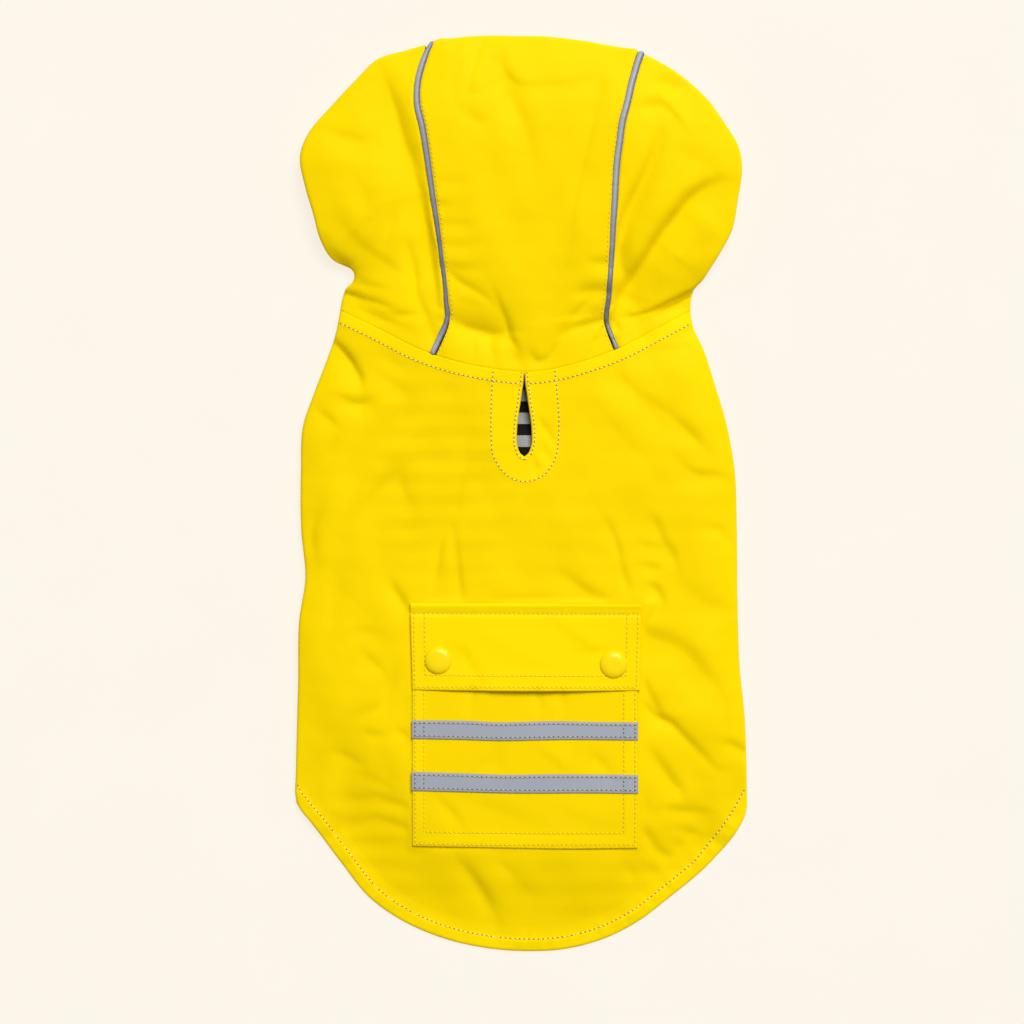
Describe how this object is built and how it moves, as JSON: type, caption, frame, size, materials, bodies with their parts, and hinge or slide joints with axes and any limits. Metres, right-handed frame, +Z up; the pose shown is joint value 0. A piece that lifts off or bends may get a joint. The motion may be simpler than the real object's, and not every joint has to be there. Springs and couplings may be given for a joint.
{
  "type": "dog raincoat",
  "caption": "Hooded dog raincoat laid flat back side up, with a leash slit, reflective piping, and a taped cargo pocket closed by a snapped flap.",
  "frame": {"origin": "centre of the coat's outline seen from above, on the surface that it lies on", "axes": "+Y towards the hood along the coat's length, +X across it to the viewer's right in the picture, +Z up out of the coat's back"},
  "size_m": [0.238, 0.4819, 0.0223],
  "materials": {
    "shell_cloth": "yellow polyurethane-coated rain cloth, semi-matte",
    "striped_lining": "black and grey striped jersey, matte",
    "reflective_piping": "grey retroreflective cloth over a cord, satin",
    "reflective_tape": "grey retroreflective tape, satin",
    "snap_plastic": "glossy yellow enamelled cap"
  },
  "bodies": {
    "root": {"back_panel": "shell_cloth", "front_panel": "shell_cloth", "front_lining": "striped_lining", "hood_centre": "shell_cloth", "hood_left": "shell_cloth", "hood_right": "shell_cloth", "piping_left": "reflective_piping", "piping_right": "reflective_piping", "pocket": "shell_cloth", "pocket_flap": "shell_cloth", "tape_upper": "reflective_tape", "tape_lower": "reflective_tape", "snap_left": "snap_plastic", "snap_right": "snap_plastic"}
  },
  "joints": []
}
